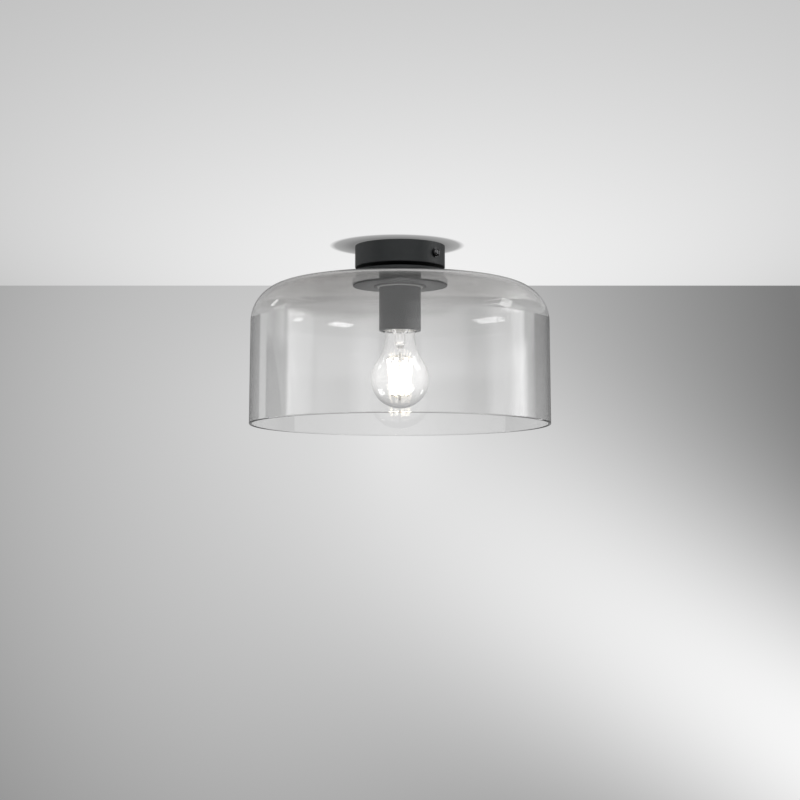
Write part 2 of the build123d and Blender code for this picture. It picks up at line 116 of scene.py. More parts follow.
def rounded(corners, count):
    # closed outline from (radius, height, corner rounding), corners replaced by arcs
    outline = []
    for i, (r, z, rounding) in enumerate(corners):
        here = Vector((r, z))
        if rounding <= 0:
            outline.append((r, z))
            continue
        before = Vector(corners[i - 1][:2]) - here
        after = Vector(corners[(i + 1) % len(corners)][:2]) - here
        before.normalize()
        after.normalize()
        half = before.angle(after) / 2
        reach = rounding / tan(half)
        centre = here + (before + after).normalized() * rounding / sin(half)
        start = here + before * reach - centre
        end = here + after * reach - centre
        a0 = atan2(start.y, start.x)
        a1 = atan2(end.y, end.x)
        while a1 - a0 > pi:
            a1 -= 2 * pi
        while a1 - a0 < -pi:
            a1 += 2 * pi
        for k in range(count + 1):
            t = a0 + (a1 - a0) * k / count
            outline.append((centre.x + rounding * cos(t), centre.y + rounding * sin(t)))
    return outline


rodForm = {"capSteps": 5, "tip": 0.02}  # tip: the radius at which a rounded end stops


def rodMesh(start, end, radius, sides, cap=0.0):
    # straight round bar, with ends rounded over the length cap
    run = Vector(end) - Vector(start)
    side = run.orthogonal().normalized()
    other = run.normalized().cross(side)
    stations = [(0, radius), (run.length, radius)]
    if cap > 0:
        count = rodForm["capSteps"]
        bends = [radians(90 * i / count) for i in reversed(range(count + 1))]
        stations = [(cap * (1 - sin(t)), max(radius * cos(t), rodForm["tip"])) for t in bends]
        stations += [(run.length - d, r) for d, r in reversed(stations)]
    verts, rows = [], []
    for d, r in stations:
        base = Vector(start) + run.normalized() * d
        rows.append(list(range(len(verts), len(verts) + sides)))
        for k in range(sides):
            t = 2 * pi * k / sides
            verts.append(tuple(base + side * r * cos(t) + other * r * sin(t)))
    return verts, rowFaces(rows, False) + [list(reversed(rows[0])), rows[-1]]


def joinMeshes(parts):
    verts, faces = [], []
    for partVerts, partFaces in parts:
        shift = len(verts)
        verts += partVerts
        faces += [[shift + i for i in face] for face in partFaces]
    return verts, faces


def top(node):
    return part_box(node)[1].z / mm


def bottom(node):
    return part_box(node)[0].z / mm


# node helpers for the materials, the stage and the studio

def newMaterial(name):
    mat = bpy.data.materials.new(name)
    mat.use_nodes = True
    tree = mat.node_tree
    return mat, tree, tree.nodes["Principled BSDF"]


def along(tree, point, direction):
    dot = tree.nodes.new("ShaderNodeVectorMath")
    dot.operation = "DOT_PRODUCT"
    dot.inputs[1].default_value = direction
    tree.links.new(point, dot.inputs[0])
    return dot.outputs["Value"]


def colourRamp(tree, value, stops):
    # colour that changes along a value, from (value, colour) pairs
    low, high = stops[0][0], stops[-1][0]
    span = tree.nodes.new("ShaderNodeMapRange")
    span.inputs["From Min"].default_value = low
    span.inputs["From Max"].default_value = high
    ramp = tree.nodes.new("ShaderNodeValToRGB")
    elements = ramp.color_ramp.elements
    while len(elements) < len(stops):
        elements.new(0.5)  # its place is set below
    for element, (place, colour) in zip(elements, stops):
        element.position = (place - low) / (high - low)
        element.color = (*colour, 1)
    tree.links.new(value, span.inputs["Value"])
    tree.links.new(span.outputs["Result"], ramp.inputs["Fac"])
    return ramp.outputs["Color"]


def greyRamp(tree, value, stops):
    # brightness along a value, from (value, brightness) pairs
    return colourRamp(tree, value, [(place, (grey, grey, grey)) for place, grey in stops])


def heightRamp(tree, coords, stops):
    # colour that changes with height, from (height in metres, colour) pairs
    return colourRamp(tree, along(tree, coords.outputs["Object"], upwards), stops)


def softStep(tree, value, low, high, peak=1.0):
    # nothing below low, peak above high, and a soft rise between
    step = tree.nodes.new("ShaderNodeMapRange")
    step.interpolation_type = "SMOOTHSTEP"
    step.inputs["From Min"].default_value = low
    step.inputs["From Max"].default_value = high
    step.inputs["To Max"].default_value = peak
    tree.links.new(value, step.inputs["Value"])
    return step.outputs["Result"]


def mixedShaders(tree, share, first, second):
    mix = tree.nodes.new("ShaderNodeMixShader")
    tree.links.new(share, mix.inputs["Fac"])
    tree.links.new(first, mix.inputs[1])
    tree.links.new(second, mix.inputs[2])
    return mix.outputs["Shader"]


def uneven(tree, bsdf, coords, scale, detail, strength, depth):
    # surface that rises and falls a little with a noise
    noise = tree.nodes.new("ShaderNodeTexNoise")
    noise.inputs["Scale"].default_value = scale
    noise.inputs["Detail"].default_value = detail
    bump = tree.nodes.new("ShaderNodeBump")
    bump.inputs["Strength"].default_value = strength
    bump.inputs["Distance"].default_value = depth
    tree.links.new(coords.outputs["Object"], noise.inputs["Vector"])
    tree.links.new(noise.outputs["Fac"], bump.inputs["Height"])
    tree.links.new(bump.outputs["Normal"], bsdf.inputs["Normal"])


# low and high: the part of the noise over which the colour drifts from dark to light
mottleForm = {"low": 0.35, "high": 0.65, "detail": 4, "grainDetail": 3}


def mottled(tree, bsdf, look):
    # colour that drifts a little, roughness that follows it, and a fine surface grain
    coords = tree.nodes.new("ShaderNodeTexCoord")
    drift = tree.nodes.new("ShaderNodeTexNoise")
    drift.inputs["Scale"].default_value = look["drift"]
    drift.inputs["Detail"].default_value = mottleForm["detail"]
    ramp = tree.nodes.new("ShaderNodeValToRGB")
    ramp.color_ramp.elements[0].position = mottleForm["low"]
    ramp.color_ramp.elements[1].position = mottleForm["high"]
    ramp.color_ramp.elements[0].color = (*look["dark"], 1)
    ramp.color_ramp.elements[1].color = (*look["light"], 1)
    shine = tree.nodes.new("ShaderNodeMapRange")
    shine.inputs["To Min"].default_value = look["roughness"][0]
    shine.inputs["To Max"].default_value = look["roughness"][1]
    tree.links.new(coords.outputs["Object"], drift.inputs["Vector"])
    tree.links.new(drift.outputs["Fac"], ramp.inputs["Fac"])
    tree.links.new(drift.outputs["Fac"], shine.inputs["Value"])
    tree.links.new(ramp.outputs["Color"], bsdf.inputs["Base Color"])
    tree.links.new(shine.outputs["Result"], bsdf.inputs["Roughness"])
    uneven(tree, bsdf, coords, look["grain"], mottleForm["grainDetail"], look["grainStrength"],
           look["grainDepth"])


# finishes

coatLook = {"dark": (0.013, 0.0155, 0.0165), "light": (0.018, 0.021, 0.022), "drift": 60, "gloss": 0.3,
            "roughness": (0.42, 0.52), "grain": 2600, "grainStrength": 0.015, "grainDepth": 0.0001}


def powderCoat():
    mat, tree, bsdf = newMaterial("charcoal_powder_coat")
    mottled(tree, bsdf, coatLook)
    bsdf.inputs["Specular IOR Level"].default_value = coatLook["gloss"]
    return mat


metalLook = {"drift": 120, "grain": 900, "grainStrength": 0.15, "grainDepth": 0.00006}


def metal(name, dark, light, roughness, **changes):
    mat, tree, bsdf = newMaterial(name)
    mottled(tree, bsdf, {**metalLook, "dark": dark, "light": light, "roughness": roughness, **changes})
    bsdf.inputs["Metallic"].default_value = 1.0
    return mat


plasticLook = {"drift": 80, "grain": 1400, "grainStrength": 0.12, "grainDepth": 0.00008}


def plastic(name, dark, light, roughness, **changes):
    mat, tree, bsdf = newMaterial(name)
    mottled(tree, bsdf, {**plasticLook, "dark": dark, "light": light, "roughness": roughness, **changes})
    return mat


# the tint is darker on the dome, a little more so on its left, and clears down the wall: partly the
# glass's smoke, partly painted shade: (height in metres, tint of one pass)
smokeAndPaintedShadeLook = {"left": [(-0.078, (0.93, 0.93, 0.93)), (-0.066, (0.88, 0.88, 0.875)),
                      (-0.058, (0.84, 0.835, 0.83)), (-0.05, (0.72, 0.71, 0.7)),
                      (-0.04, (0.62, 0.61, 0.6)), (-0.036, (0.38, 0.37, 0.36))],
             "right": [(-0.078, (0.93, 0.93, 0.93)), (-0.066, (0.9, 0.9, 0.895)),
                       (-0.046, (0.88, 0.875, 0.87)), (-0.04, (0.72, 0.71, 0.7)),
                       (-0.036, (0.47, 0.46, 0.45))],
             "sides": 0.12, "absorb": (0.62, 0.62, 0.615), "density": 55.0, "ior": 1.5, "roughness": 0.0,
             "wave": 14, "waveDetail": 1, "waveStrength": 0.035, "waveDepth": 0.004}


def smokedGlass():
    # smoke grey through its thickness, with the slow waviness of blown glass
    look = smokeAndPaintedShadeLook
    mat, tree, bsdf = newMaterial("smoked_glass")
    bsdf.inputs["Roughness"].default_value = look["roughness"]
    bsdf.inputs["IOR"].default_value = look["ior"]
    bsdf.inputs["Transmission Weight"].default_value = 1.0
    coords = tree.nodes.new("ShaderNodeTexCoord")
    sideways = along(tree, coords.outputs["Object"], acrossView)
    # painted shade as well as smoke: the tint darkens over the dome and more on its left side
    tint = tree.nodes.new("ShaderNodeMix")
    tint.data_type = "RGBA"  # its colours are inputs 6 and 7 and output 2
    tree.links.new(softStep(tree, sideways, -look["sides"], look["sides"]), tint.inputs["Factor"])
    tree.links.new(heightRamp(tree, coords, look["left"]), tint.inputs[6])
    tree.links.new(heightRamp(tree, coords, look["right"]), tint.inputs[7])
    tree.links.new(tint.outputs[2], bsdf.inputs["Base Color"])
    uneven(tree, bsdf, coords, look["wave"], look["waveDetail"], look["waveStrength"], look["waveDepth"])
    smoke = tree.nodes.new("ShaderNodeVolumeAbsorption")
    smoke.inputs["Color"].default_value = (*look["absorb"], 1)
    smoke.inputs["Density"].default_value = look["density"]
    tree.links.new(smoke.outputs["Volume"], tree.nodes["Material Output"].inputs["Volume"])
    return mat


# tint: painted shade, darker where the glass is seen edge on
# glow: the little light that the glass scatters round the lit filaments, by height in metres
bulbLook = {"tint": [(0.0, 0.99), (0.3, 0.98), (0.5, 0.88), (0.7, 0.72), (1.0, 0.45)],
            "ior": 1.46, "roughness": 0.0,
            "ripple": 40, "rippleDetail": 2, "rippleStrength": 0.02, "rippleDepth": 0.001,
            "glow": [(-0.158, (0, 0, 0)), (-0.15, (0.3, 0.295, 0.29)), (-0.14, (0.9, 0.89, 0.87)),
                     (-0.128, (1, 0.985, 0.96)), (-0.1, (0.5, 0.49, 0.48)), (-0.08, (0.4, 0.39, 0.38))],
            "glowStrength": 0.095}


def clearGlass():
    look = bulbLook
    mat, tree, bsdf = newMaterial("bulb_glass")
    bsdf.inputs["Roughness"].default_value = look["roughness"]
    bsdf.inputs["IOR"].default_value = look["ior"]
    bsdf.inputs["Transmission Weight"].default_value = 1.0
    bsdf.inputs["Emission Strength"].default_value = look["glowStrength"]
    edge = tree.nodes.new("ShaderNodeLayerWeight")
    coords = tree.nodes.new("ShaderNodeTexCoord")
    # painted shade: the glass is tinted darker towards its outline
    tree.links.new(greyRamp(tree, edge.outputs["Facing"], look["tint"]), bsdf.inputs["Base Color"])
    tree.links.new(heightRamp(tree, coords, look["glow"]), bsdf.inputs["Emission Color"])
    uneven(tree, bsdf, coords, look["ripple"], look["rippleDetail"], look["rippleStrength"],
           look["rippleDepth"])
    return mat


filamentLook = {"dark": (1.0, 0.86, 0.62), "light": (1.0, 0.9, 0.7), "drift": 300,
                "roughness": (0.5, 0.7), "grain": 900, "grainStrength": 0.2, "grainDepth": 0.0001,
                "glow": (1.0, 0.95, 0.86), "glowStrength": 4.5}


def litFilament():
    mat, tree, bsdf = newMaterial("lit_filament")
    mottled(tree, bsdf, filamentLook)
    bsdf.inputs["Emission Color"].default_value = (*filamentLook["glow"], 1)
    bsdf.inputs["Emission Strength"].default_value = filamentLook["glowStrength"]
    return mat


earthLook = {"green": (0.02, 0.2, 0.04), "yellow": (0.75, 0.62, 0.02), "greenShare": 0.5, "stripes": 90,
             "waver": 0.5, "roughness": 0.45}


def earthInsulation():
    # green with a yellow stripe that winds along the wire
    look = earthLook
    mat, tree, bsdf = newMaterial("green_yellow_insulation")
    coords = tree.nodes.new("ShaderNodeTexCoord")
    stripe = tree.nodes.new("ShaderNodeTexWave")
    stripe.inputs["Scale"].default_value = look["stripes"]
    stripe.inputs["Distortion"].default_value = look["waver"]
    ramp = tree.nodes.new("ShaderNodeValToRGB")
    ramp.color_ramp.interpolation = "CONSTANT"
    ramp.color_ramp.elements[1].position = look["greenShare"]
    ramp.color_ramp.elements[0].color = (*look["green"], 1)
    ramp.color_ramp.elements[1].color = (*look["yellow"], 1)
    tree.links.new(coords.outputs["Object"], stripe.inputs["Vector"])
    tree.links.new(stripe.outputs["Fac"], ramp.inputs["Fac"])
    tree.links.new(ramp.outputs["Color"], bsdf.inputs["Base Color"])
    bsdf.inputs["Roughness"].default_value = look["roughness"]
    return mat


# metals and plastics: name, dark and light colour, roughness from and to
finishes = {
    "charcoal_coat": powderCoat(),
    "dark_screw": metal("dark_screw_metal", (0.05, 0.05, 0.052), (0.08, 0.08, 0.082), (0.22, 0.32)),
    "zinc_steel": metal("bright_zinc", (0.3, 0.305, 0.315), (0.38, 0.385, 0.39), (0.4, 0.55)),
    "smoked_glass": smokedGlass(),
    "clear_glass": clearGlass(),
    "gasket": plastic("black_rubber", (0.018, 0.018, 0.018), (0.028, 0.028, 0.028), (0.5, 0.65)),
    "ceramic_insert": plastic("white_ceramic", (0.78, 0.76, 0.7), (0.86, 0.84, 0.78), (0.45, 0.6),
                              grain=700, grainStrength=0.2),
    "brass_contact": metal("bright_brass", (0.72, 0.52, 0.22), (0.82, 0.62, 0.3), (0.2, 0.35)),
    "block_plastic": plastic("milky_plastic", (0.8, 0.8, 0.76), (0.88, 0.88, 0.84), (0.35, 0.5)),
    "brown_wire": plastic("brown_insulation", (0.14, 0.06, 0.03), (0.2, 0.09, 0.045), (0.4, 0.5)),
    "blue_wire": plastic("blue_insulation", (0.03, 0.1, 0.42), (0.05, 0.14, 0.5), (0.4, 0.5)),
    "earth_wire": earthInsulation(),
    "cap_metal": metal("nickel_cap", (0.66, 0.64, 0.58), (0.76, 0.74, 0.68), (0.18, 0.3)),
    "cap_glass": plastic("black_cap_glass", (0.02, 0.02, 0.022), (0.035, 0.03, 0.032), (0.12, 0.2)),
    "solder": metal("tinned_contact", (0.6, 0.6, 0.6), (0.72, 0.72, 0.72), (0.3, 0.45),
                    grain=500, grainStrength=0.3),
    "driver_board": plastic("white_board", (0.62, 0.66, 0.6), (0.72, 0.74, 0.7), (0.4, 0.5)),
    "filament": litFilament(),
    "frame_wire": metal("nickel_wire", (0.6, 0.59, 0.56), (0.72, 0.7, 0.67), (0.2, 0.35)),
}
print("finishes made:", len(finishes))

for part in frame["record"]["subparts"]:
    obj = cad[part["node"]]
    obj.data.materials.clear()
    obj.data.materials.append(finishes[part["material_slot"]])


def dress(obj, body, slot, *replaced):
    obj.data.materials.append(finishes[slot])
    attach(obj, body)
    if replaced:
        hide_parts(*replaced)
    return obj


# glass shade

shadeForm = {"wall": 2.5, "seatWall": 2.8, "hole": 23.0, "seat": 48.0, "dome": 400.0, "shoulder": 38.0,
             "flare": 0.5, "rimRounding": 1.0, "holeRounding": 0.6, "roundSteps": 6, "domeSteps": 24,
             "shoulderSteps": 40, "steps": 320, "smooth": 40,
             "wallRows": [0.004, 0.02, 0.1, 0.2, 0.35, 0.5, 0.65, 0.8, 0.9, 0.97, 0.985, 1.0]}


def shadeCurve(inset, seatInset):
    # seat, dome, shoulder and wall from the hole to the rim, moved inwards by seatInset at the seat
    # and by inset at the wall
    form = shadeForm
    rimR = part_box("glass_shade")[1].x / mm
    seatZ = top("glass_shade")
    rimZ = bottom("glass_shade")
    flare = radians(form["flare"])
    step = form["dome"] - form["shoulder"]
    spread = (rimR - form["seat"]) * cos(flare)
    reach = spread + (rimZ - seatZ + form["dome"]) * sin(flare) - form["shoulder"]
    turn = asin(reach / step) - flare
    run = step * sin(turn)
    shoulderR = form["seat"] + run
    shoulderZ = seatZ - form["dome"] + step * cos(turn)
    bend = form["shoulder"] - inset
    drop = seatZ - seatInset - shoulderZ
    dome = (run ** 2 + drop ** 2 - bend ** 2) / (2 * (drop - bend))
    lean = 90 - degrees(asin(run / (dome - bend)))
    curve = [(form["hole"], seatZ - seatInset)]
    curve += arcPoints(form["seat"], seatZ - seatInset - dome, dome, 90, lean, form["domeSteps"])
    curve += arcPoints(shoulderR, shoulderZ, bend, lean, form["flare"], form["shoulderSteps"])[1:]
    wallR, wallZ = curve[-1]
    for share in form["wallRows"]:
        z = wallZ + (rimZ - wallZ) * share
        curve.append((wallR + (wallZ - z) * tan(flare), z))
    return curve


def glassShade():
    form = shadeForm
    outer = shadeCurve(0, 0)
    inner = shadeCurve(form["wall"], form["seatWall"])
    rim = form["rimRounding"]
    hole = form["holeRounding"]
    corners = [(*outer[0], hole)] + [(*p, 0) for p in outer[1:-1]] + [(*outer[-1], rim)]
    corners += [(*inner[-1], rim)] + [(*p, 0) for p in reversed(inner[1:-1])] + [(*inner[0], hole)]
    obj = lathe("shade_glass", rounded(corners, form["roundSteps"]), form["steps"], form["smooth"])
    dress(obj, "shade", "smoked_glass", "glass_shade")


glassShade()
print("glass shade made")


# filament bulb

bulbForm = {"ball": 29.5, "neck": 15.2, "waist": 45.0, "mouth": 12.4, "flareLength": 6.5, "wall": 0.8,
            "mouthLength": 4.0, "flareSteps": 12, "waistSteps": 24, "ballSteps": 48, "steps": 192,
            "smooth": 50}


def bulbCurve(inset):
    # from the open mouth down over neck, waist and ball to the tip
    form = bulbForm
    ballR = form["ball"] - inset
    waistR = form["waist"] + inset
    neckR = form["neck"] - inset
    mouthR = form["mouth"] - inset
    ballZ = bottom("bulb_envelope") + form["ball"]
    mouthTop = top("bulb_envelope")
    capEdge = mouthTop - form["mouthLength"]
    neckTop = capEdge - form["flareLength"]
    waistX = neckR + waistR
    rise = sqrt((ballR + waistR) ** 2 - waistX ** 2)
    slope = degrees(atan2(rise, waistX))
    curve = [(mouthR, mouthTop), (mouthR, capEdge)]
    for k in range(1, form["flareSteps"] + 1):
        t = k / form["flareSteps"]
        ease = t * t * (3 - 2 * t)  # level at both ends
        curve.append((mouthR + (neckR - mouthR) * ease, capEdge + (neckTop - capEdge) * t))
    curve += arcPoints(waistX, ballZ + rise, waistR, 180, 180 + slope, form["waistSteps"])
    curve += arcPoints(0, ballZ, ballR, slope, -90, form["ballSteps"])[1:-1]
    curve.append((0, ballZ - ballR))
    return curve


def bulbGlass():
    profile = bulbCurve(0) + list(reversed(bulbCurve(bulbForm["wall"])))
    obj = lathe("bulb_glass_envelope", profile, bulbForm["steps"], bulbForm["smooth"])
    dress(obj, "bulb", "clear_glass", "bulb_envelope")


bulbGlass()


stemForm = {"tube": 5.5, "foot": 8.0, "pinch": 2.6, "pinchLength": 4.0, "wall": 1.0, "tipRounding": 1.2,
            "pinchRounding": 2.0, "tubeRounding": 3.0, "boreRounding": 1.5, "footRounding": 5.0,
            "edgeRounding": 0.3, "roundSteps": 6, "steps": 96, "smooth": 40}


def bulbStem():
    form = stemForm
    high = top("bulb_stem")
    low = bottom("bulb_stem")
    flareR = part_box("bulb_stem")[1].x / mm
    tubeR, wall, edge = form["tube"], form["wall"], form["edgeRounding"]
    foot = high - form["foot"]
    pinch = low + form["pinchLength"]
    tubeLow = pinch + tubeR
    corners = [(0, low, 0), (form["pinch"], low, form["tipRounding"]),
               (form["pinch"], pinch, form["pinchRounding"]), (tubeR, tubeLow, form["tubeRounding"]),
               (tubeR, foot, form["footRounding"]), (flareR, high - wall, edge), (flareR, high, edge),
               (flareR - wall, high, edge), (tubeR - wall, foot, form["footRounding"]),
               (tubeR - wall, tubeLow, form["boreRounding"]), (0, tubeLow, 0)]
    obj = lathe("bulb_stem_glass", rounded(corners, form["roundSteps"]), form["steps"], form["smooth"])
    dress(obj, "bulb", "clear_glass", "bulb_stem")


bulbStem()


# rod: the middle rod; wires join it wireJoin from the stem and from its low end
# tab: the metal end of a stick, tabOver thicker than the stick
filamentForm = {"count": 8, "radius": 1.35, "topR": 12.5, "lowR": 8.5, "drop": 38.0, "belowStem": 5.0,
                "sides": 18, "wire": 0.3, "wireSides": 10, "wireJoin": 1.8, "rod": 0.8, "rodSides": 20,
                "rodInStem": 0.5, "tab": 1.2, "tabOver": 0.06, "tabSides": 16, "smooth": 35}


def filamentEnds(i):
    form = filamentForm
    turn = 2 * pi * (i + 0.5) / form["count"]  # half a step off the x axis
    high = bottom("bulb_stem") - form["belowStem"]
    upper = Vector((form["topR"] * cos(turn), form["topR"] * sin(turn), high))
    lower = Vector((form["lowR"] * cos(turn), form["lowR"] * sin(turn), high - form["drop"]))
    return upper, lower


def filamentCage():
    form = filamentForm
    sticks, wires = [], []
    stemLow = bottom("bulb_stem")
    rodLow = bottom("filament_frame")
    rodTop = (0, 0, stemLow + form["rodInStem"])
    wires.append(rodMesh(rodTop, (0, 0, rodLow), form["rod"], form["rodSides"], form["rod"]))
    tabR = form["radius"] + form["tabOver"]
    for i in range(form["count"]):
        upper, lower = filamentEnds(i)
        sticks.append(rodMesh(upper, lower, form["radius"], form["sides"], form["radius"]))
        tab = (lower - upper).normalized() * form["tab"]
        wires.append(rodMesh((0, 0, stemLow - form["wireJoin"]), upper, form["wire"], form["wireSides"]))
        wires.append(rodMesh((0, 0, rodLow + form["wireJoin"]), lower, form["wire"], form["wireSides"]))
        wires.append(rodMesh(upper, upper + tab, tabR, form["tabSides"]))
        wires.append(rodMesh(lower - tab, lower, tabR, form["tabSides"]))
    lit = meshObject("filament_sticks", *joinMeshes(sticks), form["smooth"])
    dress(lit, "bulb", "filament", "filaments")
    cage = meshObject("filament_cage_wires", *joinMeshes(wires), form["smooth"])
    dress(cage, "bulb", "frame_wire", "filament_frame")


filamentCage()


# runIn and runOut: the heights over which the thread begins and ends
# inset: how far the hollow lies inside the crest
capForm = {"pitch": 3.629, "depth": 0.62, "runIn": 2.0, "runOut": 1.2, "skirt": 3.0, "skirtInset": 0.25,
           "shoulder": 2.0, "endR": 10.0, "wall": 0.5, "inset": 1.2, "steps": 96, "rows": 100,
           "smooth": 50}


def threadedCap():
    # rolled screw cap: round thread between a plain skirt and a sloping shoulder
    form = capForm
    low, high = bottom("bulb_cap"), top("bulb_cap")
    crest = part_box("bulb_cap")[1].x / mm
    threadLow, threadHigh = low + form["skirt"], high - form["shoulder"]
    steps = form["steps"]
    verts = []
    for j in range(form["rows"] + 1):
        z = low + (threadHigh - low) * j / form["rows"]
        begun = min(max((z - threadLow) / form["runIn"], 0), 1)
        left = min(max((threadHigh - z) / form["runOut"], 0), 1)
        skirtInset = form["skirtInset"] if z < threadLow else 0
        for k in range(steps):
            t = 2 * pi * k / steps
            dip = form["depth"] * (0.5 - 0.5 * cos(2 * pi * z / form["pitch"] - t))
            r = crest - dip * begun * left - skirtInset
            verts.append((r * cos(t), r * sin(t), z))
    hollow = crest - form["inset"]
    endR = form["endR"]
    for r, z in [(endR, high), (endR - form["wall"], high), (hollow, threadHigh), (hollow, low)]:
        verts += circle(r, z, steps)
    rows = [list(range(first, first + steps)) for first in range(0, len(verts), steps)]
    obj = meshObject("bulb_screw_cap", verts, rowFaces(rows, True), form["smooth"])
    dress(obj, "bulb", "cap_metal", "bulb_cap")


threadedCap()
print("bulb made")


# ring nut and glass ring, turned over their solids

turnedForm = {"roundSteps": 5, "steps": 224, "smooth": 30}


def turnedRing(name, node, body, slot, corners):
    outline = rounded(corners, turnedForm["roundSteps"])
    obj = lathe(name, outline, turnedForm["steps"], turnedForm["smooth"])
    return dress(obj, body, slot, node)


# faces: (radius in metres, colour), a painted highlight at the lip round the holder, the face painted
# lighter than the coat, and painted shade in the crease at the ring
ringNutForm = {"bore": 21.2, "lipR": 22.6, "lip": 1.0, "edge": 1.0, "rounding": 0.1, "lipRounding": 0.6,
               "roughness": 0.4, "gloss": 0.0,
               "faces": [(0.0212, (0.45, 0.45, 0.45)), (0.0228, (0.45, 0.45, 0.45)),
                         (0.0232, (0.12, 0.12, 0.12)), (0.0254, (0.12, 0.12, 0.12)),
                         (0.0258, (0.001, 0.001, 0.001)), (0.0263, (0.001, 0.001, 0.001))]}


def nutPaintedHighlightAndShade():
    mat, tree, bsdf = newMaterial("charcoal_nut_painted_highlight_and_shade")
    coords = tree.nodes.new("ShaderNodeTexCoord")
    flat = tree.nodes.new("ShaderNodeVectorMath")
    flat.operation = "MULTIPLY"
    flat.inputs[1].default_value = (1, 1, 0)
    radius = tree.nodes.new("ShaderNodeVectorMath")
    radius.operation = "LENGTH"
    tree.links.new(coords.outputs["Object"], flat.inputs[0])
    tree.links.new(flat.outputs["Vector"], radius.inputs[0])
    # painted highlight at the lip, face painted lighter and painted shade in the crease, set by radius
    colour = colourRamp(tree, radius.outputs["Value"], ringNutForm["faces"])
    tree.links.new(colour, bsdf.inputs["Base Color"])
    bsdf.inputs["Roughness"].default_value = ringNutForm["roughness"]
    bsdf.inputs["Specular IOR Level"].default_value = ringNutForm["gloss"]
    return mat


def ringNut():
    form = ringNutForm
    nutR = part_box("ring_nut")[1].x / mm
    high, low = top("ring_nut"), bottom("ring_nut")
    bore, lipR, rounding = form["bore"], form["lipR"], form["rounding"]
    nut = turnedRing("ring_nut_body", "ring_nut", "nut", "charcoal_coat", [
        (bore, low, rounding), (lipR, low, form["lipRounding"]), (lipR, low + form["lip"], rounding),
        (nutR, high - form["edge"], rounding), (nutR, high, rounding), (bore, high, rounding)])
    nut.data.materials[0] = nutPaintedHighlightAndShade()


ringNut()


glassRingForm = {"bore": 21.8, "edge": 0.15, "rounding": 0.1}


def glassRing():
    form = glassRingForm
    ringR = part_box("glass_ring")[1].y / mm
    high, low = top("glass_ring"), bottom("glass_ring")
    bore, rounding = form["bore"], form["rounding"]
    turnedRing("glass_ring_plate", "glass_ring", "shade", "charcoal_coat", [
        (bore, low, rounding), (ringR, low, form["edge"]),
        (ringR, high, rounding), (bore, high, rounding)])


glassRing()
print("rings made")


# stage, in metres: white ceiling, grey wall behind, round pale floor

stageForm = {"size": 8.0, "ceilingLift": 0.0003, "wallBehind": 0.266, "floor": -1.6, "floorR": 3.7,
             "floorSides": 128}


def stagePlane(name, corners, mat):
    mesh = bpy.data.meshes.new(name)
    mesh.from_pydata([tuple(c) for c in corners], [], [list(range(len(corners)))])
    obj = bpy.data.objects.new(name, mesh)
    bpy.context.scene.collection.objects.link(obj)
    mesh.materials.append(mat)
    return obj


def calc(tree, operation, *values):
    node = tree.nodes.new("ShaderNodeMath")
    node.operation = operation
    for socket, value in zip(node.inputs, values):
        if isinstance(value, (int, float)):
            socket.default_value = value
        else:
            tree.links.new(value, socket)
    return node.outputs["Value"]


def hump(tree, value, middle, width):
    # 1 at the middle, falling off softly to both sides
    away = calc(tree, "DIVIDE", calc(tree, "SUBTRACT", value, middle), width)
    return calc(tree, "EXPONENT", calc(tree, "MULTIPLY", calc(tree, "MULTIPLY", away, away), -1.0))


def stagePaint(name, brightness):
    # shows the studio's light falling on it, and is seen through from behind, so the lamp shows
    # from above and from the back
    mat, tree = newMaterial(name)[:2]
    place = tree.nodes.new("ShaderNodeNewGeometry")
    glow = tree.nodes.new("ShaderNodeEmission")
    tree.links.new(brightness(tree, place.outputs["Position"]), glow.inputs["Strength"])
    clear = tree.nodes.new("ShaderNodeBsdfTransparent")
    seen = mixedShaders(tree, place.outputs["Backfacing"], glow.outputs["Emission"],
                        clear.outputs["BSDF"])
    tree.links.new(seen, tree.nodes["Material Output"].inputs["Surface"])
    return mat


# light pool round the lamp, and the shadow that the disc casts in the bulb's light
# far: the ceiling further off, which is brightly lit
ceilingLook = {"level": 0.87, "middle": (0.046, -0.2), "width": (0.8, 1.74), "least": 0.47,
               "shadowMiddle": -0.003,
               "shadow": [(0.0, 0.26), (0.045, 0.26), (0.054, 0.37), (0.062, 0.46),
                          (0.068, 1.0), (0.1, 1.0)],
               "far": [(0.0, 0.0), (0.9, 0.0), (1.15, 1.0), (4.0, 1.0)], "farLevel": 0.73}


def ceilingBrightness(tree, place):
    look = ceilingLook
    sideways = hump(tree, along(tree, place, acrossView), look["middle"][0], look["width"][0])
    depth = hump(tree, along(tree, place, towardsCamera), look["middle"][1], look["width"][1])
    pool = calc(tree, "MULTIPLY", calc(tree, "MULTIPLY", sideways, depth), look["level"])
    distance = tree.nodes.new("ShaderNodeVectorMath")
    distance.operation = "DISTANCE"
    distance.inputs[1].default_value = acrossView * look["shadowMiddle"]
    tree.links.new(place, distance.inputs[0])
    shadow = greyRamp(tree, distance.outputs["Value"], look["shadow"])
    far = greyRamp(tree, distance.outputs["Value"], look["far"])
    under = calc(tree, "MULTIPLY", calc(tree, "MAXIMUM", pool, look["least"]), shadow)
    return calc(tree, "ADD", under, calc(tree, "MULTIPLY", far, look["farLevel"]))


# light pool behind the lamp, the bulb's own glow on it as (middle, width, level), and a beam that widens
# from below the lamp to the right
wallLook = {"level": 0.58, "middle": (-0.14, -0.171), "width": (0.58, 0.71), "least": 0.2,
            "glows": [(0.0, 0.06, 0.085), (-0.1, 0.2, 0.035)], "glowHeight": (-0.13, 0.095),
            "beam": 0.913, "beamTilt": 33.3, "beamMiddle": -0.172, "beamWidth": 0.178,
            "beamStart": (-0.2, 0.96)}


